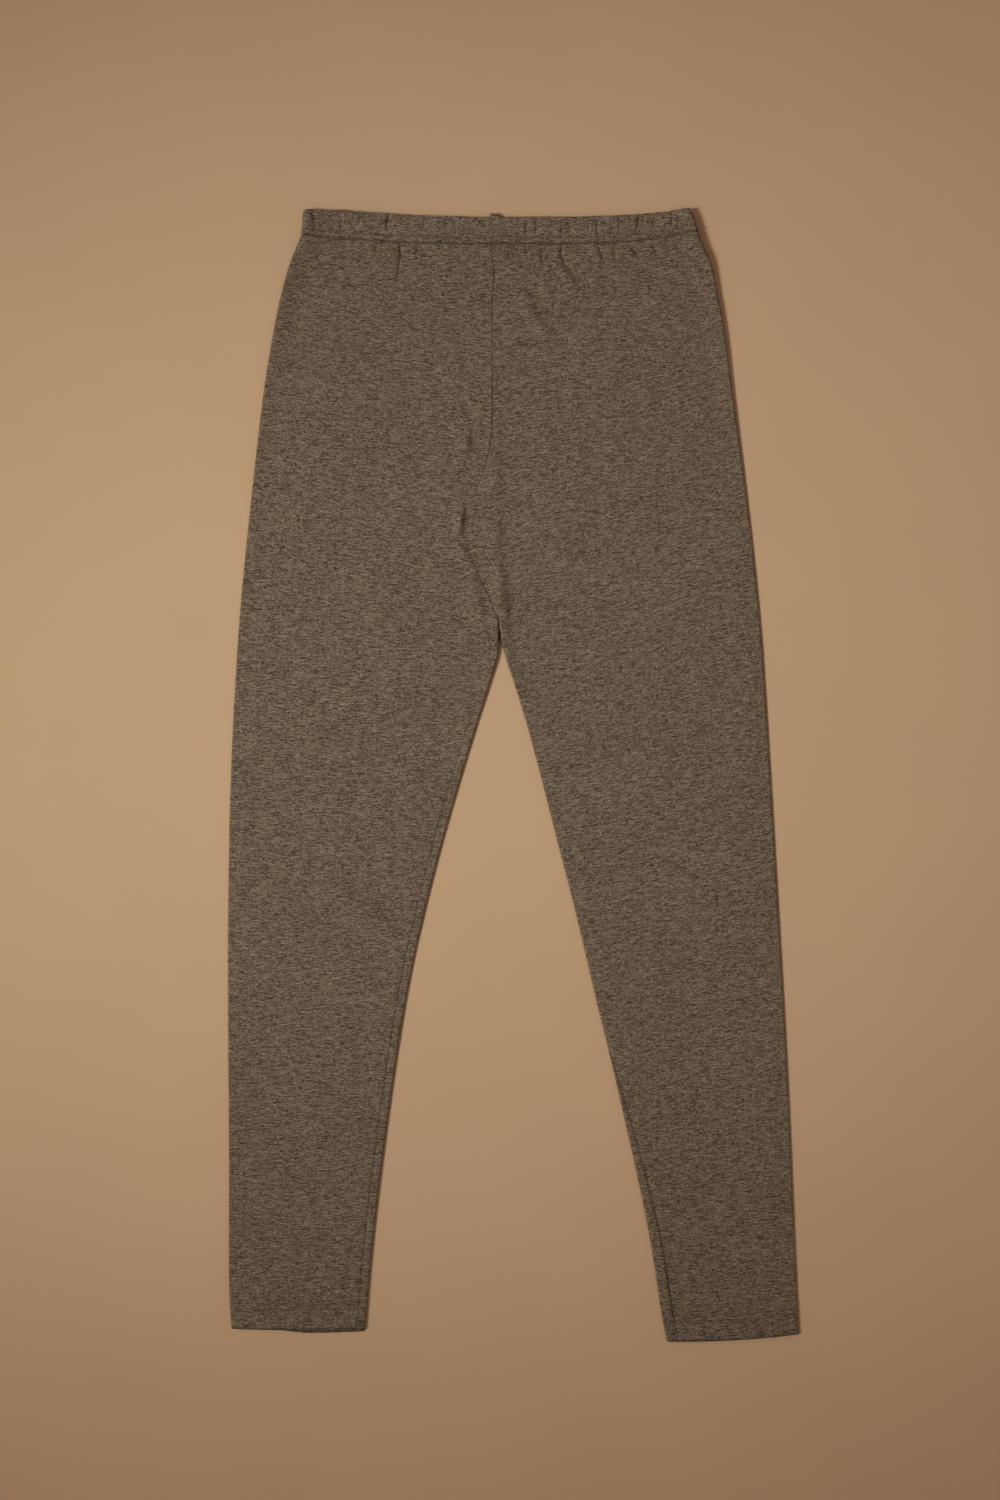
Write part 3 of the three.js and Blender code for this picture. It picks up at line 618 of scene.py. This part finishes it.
# Painted shade in the ditch of the waist's lower row of stitches.
DITCH_DARK = 0.4
HEM_DENT = {"width": 1.7, "deep": 0.15, "dark": 0.12}  # at a hem's rows of stitches; dark is painted shade in the dents
# dark is painted shade along the inseam's groove.
INSEAM_DITCH = {"width": 1.25, "deep": 0.55, "dark": 0.8, "starts": 12}
# The seam's allowance lies under the cloth, towards the inner edge.
INSEAM_PAD = {"rise": 0.3, "from": 0.4, "slope": 1.2, "to": 8, "end_slope": 2.5}
HEM_SHADE = {"dark": 0.9, "width": 2.2}  # the very edge of a hem turns under and is in shade
# Painted shade in the gap where the two legs part, on the front and a little way round the fold.
SLIT = {"down": 362, "reach": 15, "width": 0.9, "fade": 0.8, "round": 9}


def seam_shadow(down, walked):
    """How dark the line of the centre seam is, by the distance walked from it."""
    line = 1 - ease(np.abs(walked) / SEAM_SHADOW["width"])
    return SEAM_SHADOW["dark"] * along(SEAM_SHOWS, down) * line


def tight_folds(x, down, behind):
    """How little light reaches the bottom of the gathers and creases of the front."""
    gathers = FOLD_SHADOW["gathers"] * troughs(GATHERS, x, down, mound, FOLD_SHADOW["narrow"])
    creases = FOLD_SHADOW["creases"] * troughs(CREASES, x, down, mound, FOLD_SHADOW["wide"])
    return (gathers + creases) * (1 - behind)


def leg_relief(leg, straight):
    """The relief of a row of a leg, and its painted shade: in the ditches and dents of the stitches, at the
    hem's turned-under edge, along the inseam and the centre seam, in the slit and in the folds.
    """

    def relief(x, down, behind, walked):
        below = down - stitch_line(leg, x)
        above_hem = hem_line(leg, x, behind) - down
        top_ditch = 1 - ease(below / DITCH_WIDTH["leg"])
        dents = sum(mound((above_hem - at) / HEM_DENT["width"]) for at in HEM_STITCHES)
        hem_edge = 1 - ease(above_hem / HEM_SHADE["width"])

        from_seam = walked - along(leg["inseam"], straight)
        sewn = ease((straight - CROTCH_DOWN) / INSEAM_DITCH["starts"])
        inseam = mound(from_seam / INSEAM_DITCH["width"]) * sewn
        pad = ease((INSEAM_PAD["from"] - from_seam) / INSEAM_PAD["slope"])
        pad *= ease((from_seam + INSEAM_PAD["to"]) / INSEAM_PAD["end_slope"]) * sewn
        slit = mound((straight - SLIT["down"]) / SLIT["reach"]) * (walked > -SLIT["round"])

        # Painted shade: darkening where shade falls in the waist's stitch ditch, the hem's dents and edge,
        # the inseam, the slit, the centre seam and the folds.
        dark = DITCH_DARK * top_ditch + HEM_DENT["dark"] * dents + HEM_SHADE["dark"] * hem_edge
        dark += INSEAM_DITCH["dark"] * along(leg["inseam_shows"], straight) * inseam
        dark += slit * ease((SLIT["width"] - walked) / SLIT["fade"])
        dark += seam_shadow(down, walked) * (straight < CROTCH_DOWN) + tight_folds(x, down, behind)
        sunk = STITCH_DITCH * top_ditch + HEM_DENT["deep"] * dents + INSEAM_DITCH["deep"] * inseam
        return INSEAM_PAD["rise"] * pad - sunk, np.clip(dark, 0, 1)

    return relief


def leg_row(leg, straight, drawn=0):
    """What a ring needs to know of one row of a leg. "drawn" is how far its faces are drawn together, where
    a cut or folded edge is rounded off."""
    near_waist = 1 - ease((straight - STITCH_DOWN) / WAIST_FOLLOW)
    near_hem = 1 - ease((hem_middle(leg) - straight) / HEM_FOLLOW)

    def down_at(x, behind):
        waist = (stitch_line(leg, x) - STITCH_DOWN) * near_waist
        return straight + waist + (hem_line(leg, x, behind) - hem_middle(leg)) * near_hem

    def wall_at(x, behind):
        in_hem = down_at(x, behind) - hem_line(leg, x, behind) + HEM_DEPTH
        doubled = ease((in_hem + 1) / 2)
        return mix(WALL, HEM_WALL, doubled)

    centre_down = down_at(CENTRE_FRONT[0][1], 0)
    return SimpleNamespace(
        straight=straight,
        columns=LEG_COLUMNS,
        drawn=drawn,
        down_at=down_at,
        wall_at=wall_at,
        height_at=lambda x, down: front_height(leg, x, down),
        relief=leg_relief(leg, straight),
        front_x=along(CENTRE_FRONT, centre_down),
        back_x=along(CENTRE_BACK, centre_down),
        groove=GROOVE * along(SEAM_SHOWS, centre_down),
    )


def leg_rings(leg):
    """All the rows of a leg, and those of its two rows of hem stitches."""
    straights = [down for start, end, count in LEG_ZONES for down in np.linspace(start, end, count)]
    rings = [ring(leg, leg_row(leg, down)) for down in straights]
    stitched = []
    for above in HEM_ABOVE:
        rings.append(ring(leg, leg_row(leg, hem_middle(leg) - above)))
        if above in HEM_STITCHES:
            stitched.append(rings[-1])
    for turn in np.linspace(0, np.pi / 2, 8):
        above, drawn = HEM_ROUND * (1 - np.sin(turn)), HEM_ROUND * (1 - np.cos(turn))
        rings.append(ring(leg, leg_row(leg, hem_middle(leg) - above, drawn)))
    return rings, stitched


# Heathered jersey: dark and pale fibres lie in short streaks along the rows of the knit, so the noise that
# draws them is stretched across the cloth. It is laid out on the flat cloth, as the panel was cut.
def new_group(name, inputs, outputs):
    """An empty node group with a vector socket for the place on the cloth, and float sockets."""
    tree = bpy.data.node_groups.new(name, "ShaderNodeTree")
    tree.interface.new_socket("Cloth", in_out="INPUT", socket_type="NodeSocketVector")
    for socket in inputs:
        tree.interface.new_socket(socket, in_out="INPUT", socket_type="NodeSocketFloat")
    for socket in outputs:
        tree.interface.new_socket(socket, in_out="OUTPUT", socket_type="NodeSocketFloat")
    return tree, tree.nodes.new("NodeGroupInput").outputs, tree.nodes.new("NodeGroupOutput").inputs


def calculate(tree, operation, *values):
    """The result of a Math node."""
    made = tree.nodes.new("ShaderNodeMath")
    made.operation = operation
    for k, value in enumerate(values):
        if isinstance(value, bpy.types.NodeSocket):
            tree.links.new(value, made.inputs[k])
        else:
            made.inputs[k].default_value = value
    return made.outputs[0]


SLANT = {"x": 0.7, "y": 0.6}
FLAT_SCALE = 0.83  # brings the streaks of the slanting plane back to their size


def streaks(tree, place, length, width, offset, detail):
    """Noise in slightly bent streaks of this length and width, in metres. It is cut out of a solid noise
    along a slanting plane, so that its cells never line up in rows."""
    parts = add_node(tree, "ShaderNodeSeparateXYZ", {"Vector": place})
    x = calculate(tree, "ADD", calculate(tree, "DIVIDE", parts.outputs["X"], length), offset)
    y = calculate(tree, "DIVIDE", parts.outputs["Y"], width)
    rise_x = calculate(tree, "MULTIPLY", x, SLANT["x"])
    z = calculate(tree, "ADD", rise_x, calculate(tree, "MULTIPLY", y, SLANT["y"]))
    slanted = add_node(tree, "ShaderNodeCombineXYZ", {"X": x, "Y": y, "Z": z}).outputs[0]
    noise_inputs = {"Vector": slanted, "Scale": FLAT_SCALE, "Detail": detail, "Roughness": 0.5}
    noise_inputs["Distortion"] = 0.25
    return add_node(tree, "ShaderNodeTexNoise", noise_inputs).outputs[0]


def stretch(tree, value, low, high):
    """Turns low to high into 0 to 1."""
    limits = {"Value": value, "From Min": low, "From Max": high}
    return add_node(tree, "ShaderNodeMapRange", limits).outputs[0]


# Long and short streaks are mixed, and the dark flecks are of a length between them.
LONG_STREAKS = {"share": 0.4, "offset": 3.7}
SHORT_STREAKS = {"share": 0.6, "offset": 41.3, "length": 0.27, "width": 0.9}  # times the long ones
FLECKS = {"length": 0.7, "offset": 77.1, "from": 0.58, "to": 0.78}
BLOTCHES = {"length": 0.05, "width": 0.03, "offset": 9.9}
FIBRE_RANGE = 0.385, 0.635

heather, given, gives = new_group("heather_streaks", ["Length", "Width"], ["Fibre", "Dark", "Blotch"])
place, length, width = given["Cloth"], given["Length"], given["Width"]
long_ones = streaks(heather, place, length, width, LONG_STREAKS["offset"], 1)
short_length = calculate(heather, "MULTIPLY", length, SHORT_STREAKS["length"])
short_width = calculate(heather, "MULTIPLY", width, SHORT_STREAKS["width"])
short_ones = streaks(heather, place, short_length, short_width, SHORT_STREAKS["offset"], 1)
long_part = calculate(heather, "MULTIPLY", long_ones, LONG_STREAKS["share"])
short_part = calculate(heather, "MULTIPLY", short_ones, SHORT_STREAKS["share"])
both = calculate(heather, "ADD", long_part, short_part)
heather.links.new(stretch(heather, both, *FIBRE_RANGE), gives["Fibre"])
fleck_length = calculate(heather, "MULTIPLY", length, FLECKS["length"])
flecks = streaks(heather, place, fleck_length, width, FLECKS["offset"], 1)
heather.links.new(stretch(heather, flecks, FLECKS["from"], FLECKS["to"]), gives["Dark"])
blotches = streaks(heather, place, BLOTCHES["length"], BLOTCHES["width"], BLOTCHES["offset"], 2)
heather.links.new(blotches, gives["Blotch"])

# The knit itself, as a height: fine ribs of loops along the cloth, with a little fuzz.
LOOPS_PER_RIB = 1.3
FUZZ = {"length": 0.0016, "width": 0.0006, "offset": 9.1}

knit, given, gives = new_group("jersey_knit", ["Rib", "Fuzz"], ["Height"])
parts = add_node(knit, "ShaderNodeSeparateXYZ", {"Vector": given["Cloth"]})
across = calculate(knit, "DIVIDE", parts.outputs["X"], given["Rib"])
down = calculate(knit, "DIVIDE", parts.outputs["Y"], given["Rib"])
ribs = calculate(knit, "MULTIPLY", across, 2 * np.pi)
loops = calculate(knit, "MULTIPLY", down, LOOPS_PER_RIB * 2 * np.pi)
knitted = calculate(knit, "MULTIPLY", calculate(knit, "SINE", ribs), calculate(knit, "SINE", loops))
fuzz = streaks(knit, given["Cloth"], FUZZ["length"], FUZZ["width"], FUZZ["offset"], 3)
fuzz = calculate(knit, "MULTIPLY", fuzz, given["Fuzz"])
knit.links.new(calculate(knit, "ADD", knitted, fuzz), gives["Height"])


FLECK_SHARE, BLOTCH_SHARE, PAINTED_SHADE_SHARE = 0.7, 0.2, 0.85  # how far each goes to its darker colour; the last is the painted shade's
PAINTED_SHADE_COLOUR = 0.3  # the painted shade's colour, as a share of the dark fibre's


def jersey(name, dark_fibre, pale_fibre, streak, rib):
    """A heathered jersey between two colours of fibre, with streaks of a length and width, darkened by
    painted shade where the mesh's points carry it.
    """
    material, tree, shader = new_material(name)
    place = add_node(tree, "ShaderNodeAttribute", attribute_name="cloth").outputs["Vector"]
    painted_shade = add_node(tree, "ShaderNodeAttribute", attribute_name="painted_shade").outputs["Fac"]
    streak_inputs = {"Cloth": place, "Length": streak[0], "Width": streak[1]}
    heathered = add_node(tree, "ShaderNodeGroup", streak_inputs, node_tree=heather).outputs
    knit_inputs = {"Cloth": place, "Rib": rib, "Fuzz": 1.2}
    looped = add_node(tree, "ShaderNodeGroup", knit_inputs, node_tree=knit).outputs

    def blend(first, second, mask, amount):
        share = calculate(tree, "MULTIPLY", mask, amount)
        colours = {"Fac": share, "Color1": first, "Color2": (*second, 1)}
        return add_node(tree, "ShaderNodeMixRGB", colours).outputs[0]

    colour = blend((*dark_fibre, 1), pale_fibre, heathered["Fibre"], 1)
    colour = blend(colour, dark_fibre, heathered["Dark"], FLECK_SHARE)
    colour = blend(colour, dark_fibre, heathered["Blotch"], BLOTCH_SHARE)
    # Painted shade: the cloth is darkened towards a dark shade colour where shade falls in ditches, seams,
    # folds, the slit and at the hem's edge.
    colour = blend(colour, tuple(PAINTED_SHADE_COLOUR * c for c in dark_fibre), painted_shade, PAINTED_SHADE_SHARE)
    tree.links.new(colour, shader.inputs["Base Color"])
    loops_bump = add_node(
        tree, "ShaderNodeBump", {"Strength": 0.3, "Distance": 0.00012, "Height": looped["Height"]}
    )
    fibre_bump = add_node(
        tree,
        "ShaderNodeBump",
        {"Strength": 0.35, "Distance": 0.0002, "Height": heathered["Fibre"], "Normal": loops_bump.outputs[0]},
    )
    tree.links.new(fibre_bump.outputs[0], shader.inputs["Normal"])
    shader.inputs["Roughness"].default_value = 0.92
    shader.inputs["Specular IOR Level"].default_value = 0.25
    shader.inputs["Sheen Weight"].default_value = 0.1
    shader.inputs["Sheen Roughness"].default_value = 0.5
    return material


heather_jersey = jersey(
    "heather_jersey",
    dark_fibre=(0.044, 0.028, 0.015),
    pale_fibre=(0.268, 0.204, 0.14),
    streak=(0.0073, 0.00082),
    rib=0.0007,
)
hems = {}
for leg in LEGS:
    rings, hems[leg["name"]] = leg_rings(leg)
    node = f"{leg['name']}_leg"
    cloth = link_object(f"{node}_cloth", wall_mesh(f"{node}_cloth", rings, leg["side"]), heather_jersey)
    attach(cloth, "root")
    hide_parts(node)

# Waist casing. The top of the cloth is turned over a flat elastic and sewn down below it, so it stands
# thicker than the legs and the elastic draws it into small gathers. It is in two halves, one a panel, which
# meet at the centre seams; the front seam stands up a little out of the top edge.
TOP_DIP = 8.6
TOP_ROUND = 1.26
TOP_WAVES = {"height": 0.22, "width": 4.6, "seed": 31}
# The end of the centre front seam, which stands up at the top edge between these values of x.
SEAM_NUB = {"rise": 3.1, "from": -21.4, "full": -20, "falls": -17.8, "to": -11.8, "fade": 0.4}
UPPER_STITCHES = 5  # above the lower row
CASING_DEPTH = 22
UPPER_DENT = {"width": 1.8, "deep": 0.25, "dark": 0.14}
ELASTIC_BULGE = {"above": 12.5, "width": 9, "rise": 0.3}
ROW_BULGE = {"above": 2.6, "width": 1.9, "rise": 0.75}  # between the two rows of stitches
CASING_COLUMNS = {"front": 230, "back": 110}
# Rows of the casing, as shares of the way from the top edge to the lower row of stitches.
CASING_SHARES = [
    0.08, 0.13, 0.19, 0.26, 0.33, 0.4, 0.47, 0.54, 0.6, 0.65, 0.7, 0.735, 0.775, 0.815, 0.85, 0.89,
    0.925, 0.96, 0.985, 1,
]


def top_line(leg, x):
    """The folded top edge, which dips in the middle and is a little uneven where the cloth gathers."""
    t = np.abs(x - WAIST_MIDDLE) / WAIST_HALF
    dip = 1 - np.minimum(1, t) ** leg["dip_power"]
    from_end = np.abs(along(leg["outer"], 0) - x)
    corner = leg["corner"]["drop"] * (1 - ease(from_end / leg["corner"]["reach"]))
    waves = TOP_WAVES["height"] * noise(x / TOP_WAVES["width"], 0 * x, TOP_WAVES["seed"])
    return TOP_DIP * dip + corner + waves * ease(dip * 6)


def casing_relief(leg):
    """The relief of a row of the casing, and its painted shade in the ditches of the stitches, along the
    centre seam and in the gathers.
    """

    def relief(x, down, behind, walked):
        above = stitch_line(leg, x) - down
        lower = 1 - ease(above / DITCH_WIDTH["casing"])
        upper = mound((above - UPPER_STITCHES) / UPPER_DENT["width"])
        bulge = sum(
            swell["rise"] * mound((above - swell["above"]) / swell["width"])
            for swell in (ELASTIC_BULGE, ROW_BULGE)
        )
        # Painted shade in the rows of stitches, along the centre seam and in the gathers.
        dark = DITCH_DARK * lower + UPPER_DENT["dark"] * upper
        dark += seam_shadow(down, walked) + tight_folds(x, down, behind)
        return bulge - STITCH_DITCH * lower - UPPER_DENT["deep"] * upper, np.clip(dark, 0, 1)

    return relief


def casing_row(leg, share, drawn=0, lower_by=0):
    """What a ring needs to know of one row of the casing. "lower_by" moves it down all along."""
    seam_x = CENTRE_FRONT[0][1]

    def down_at(x, behind):
        rise = ease((x - SEAM_NUB["from"]) / (SEAM_NUB["full"] - SEAM_NUB["from"]))
        fall = ease((x - SEAM_NUB["falls"]) / (SEAM_NUB["to"] - SEAM_NUB["falls"]))
        nub = (1 - behind) * SEAM_NUB["rise"] * rise * (1 - fall)
        level = mix(top_line(leg, x), stitch_line(leg, x) - SEAM_GAP / 2, share)
        return level + lower_by - nub * (1 - ease(share / SEAM_NUB["fade"]))

    centre_down = down_at(seam_x, 1)
    return SimpleNamespace(
        straight=mix(0, leg["stitch_side"], share),
        columns=CASING_COLUMNS,
        drawn=drawn,
        down_at=down_at,
        wall_at=lambda x, behind: CASING_WALL + 0 * x,
        height_at=lambda x, down: front_height(leg, x, down),
        relief=casing_relief(leg),
        front_x=along(CENTRE_FRONT, centre_down),
        back_x=along(CENTRE_BACK, centre_down),
        groove=GROOVE * along(SEAM_SHOWS, centre_down),
    )


gathered_jersey = jersey(
    "gathered_jersey",
    dark_fibre=(0.045, 0.0287, 0.016),
    pale_fibre=(0.288, 0.217, 0.15),
    streak=(0.0066, 0.00082),
    rib=0.00066,
)
upper_share = 1 - UPPER_STITCHES / CASING_DEPTH
upper_row = int(np.argmin(np.abs(np.array(CASING_SHARES) - upper_share)))
waist_rows = {}
for leg in LEGS:
    rings = []
    for turn in np.linspace(np.pi / 2, 0, 7):
        lower_by, drawn = TOP_ROUND * (1 - np.sin(turn)), TOP_ROUND * (1 - np.cos(turn))
        rings.append(ring(leg, casing_row(leg, 0, drawn, lower_by)))
    for share in CASING_SHARES:
        rings.append(ring(leg, casing_row(leg, share)))
    waist_rows[leg["name"]] = [rings[upper_row - len(CASING_SHARES)], rings[-1]]
    node = f"{leg['name']}_waist_casing"
    cloth = link_object(f"{node}_cloth", wall_mesh(f"{node}_cloth", rings, leg["side"]), gathered_jersey)
    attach(cloth, "root")
    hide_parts(node)

# Stitching. Matt sewing thread in rows of short straight stitches: two rows round the waist, 5 mm apart, and
# two
# round each hem. Each stitch dives into the cloth at both ends. The thread is coloured darker than the cloth:
# partly its own colour, partly painted shade where the stitches pull into the cloth.
THREAD = 0.45  # thickness in the middle of a stitch, which gets thinner where it dives in
THREAD_ENDS = 0.45  # of its thickness
STITCH = {"first": 0.4, "pitch": 2.7, "length": 1.5, "rise": 0.24, "sunk": 0.08, "lowest": 0.02}
STITCH_RINGS, STITCH_SIDES = 5, 6


def sew(name, rows):
    """Rows of stitches along rings of cloth."""
    points, faces = [], []
    turn = np.arange(STITCH_SIDES) * 2 * np.pi / STITCH_SIDES
    across, up_share = np.sin(turn)[None, :, None], np.cos(turn)[None, :, None]
    t = np.linspace(0, 1, STITCH_RINGS)
    arched = np.sin(np.pi * t)[:, None]
    radius = THREAD / 2 * (THREAD_ENDS + (1 - THREAD_ENDS) * np.sqrt(arched))
    for row in rows:
        path = row.outer
        walked = np.concatenate([[0], np.cumsum(np.linalg.norm(np.diff(path, axis=0), axis=1))])

        def at(distance, values):
            return np.stack([np.interp(distance, walked, values[:, k]) for k in range(3)], -1)

        for start in np.arange(STITCH["first"], walked[-1] - STITCH["length"], STITCH["pitch"]):
            where = start + STITCH["length"] * t
            up = at(where, row.normal)
            up /= np.linalg.norm(up, axis=1, keepdims=True)
            centre = at(where, path) + up * (STITCH["rise"] * arched - STITCH["sunk"])
            centre[:, 2] = np.maximum(centre[:, 2], STITCH["lowest"])
            run = np.gradient(centre, axis=0)
            run /= np.linalg.norm(run, axis=1, keepdims=True)
            circle = up_share * up[:, None] + across * np.cross(run, up)[:, None]
            first = len(points) * STITCH_SIDES
            points.extend(centre[:, None] + radius[:, None] * circle)
            for level in range(first, first + (STITCH_RINGS - 1) * STITCH_SIDES, STITCH_SIDES):
                for k in range(STITCH_SIDES):
                    a, b = level + k, level + (k + 1) % STITCH_SIDES
                    faces.append((a, a + STITCH_SIDES, b + STITCH_SIDES, b))
            last = first + (STITCH_RINGS - 1) * STITCH_SIDES
            faces.append(tuple(range(first, first + STITCH_SIDES)))
            faces.append(tuple(range(last + STITCH_SIDES - 1, last - 1, -1)))
    mesh = bpy.data.meshes.new(name)
    mesh.from_pydata((np.concatenate(points) * MM).tolist(), [], faces)
    mesh.polygons.foreach_set("use_smooth", np.ones(len(mesh.polygons), bool))
    mesh.update()
    return mesh


thread_material, tree, shader = new_material("stitching")
place = add_node(tree, "ShaderNodeTexCoord").outputs["Object"]
twist = streaks(tree, place, 0.0003, 0.0003, 2.2, 2)
# The tone is very dark: partly the thread's own colour, partly painted shade where the stitches pull into the
# cloth.
tone = add_node(
    tree,
    "ShaderNodeMixRGB",
    {"Fac": twist, "Color1": (0.02, 0.013, 0.008, 1), "Color2": (0.05, 0.034, 0.022, 1)},
)
tree.links.new(tone.outputs[0], shader.inputs["Base Color"])
ply = add_node(tree, "ShaderNodeBump", {"Strength": 0.5, "Distance": 0.0001, "Height": twist})
tree.links.new(ply.outputs[0], shader.inputs["Normal"])
shader.inputs["Roughness"].default_value = 0.7
for leg in LEGS:
    for edge_name, sewn_rows in (("waist", waist_rows), ("hem", hems)):
        name = f"{leg['name']}_{edge_name}_stitches"
        stitches = link_object(name, sew(name, sewn_rows[leg["name"]]), thread_material)
        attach(stitches, "root")
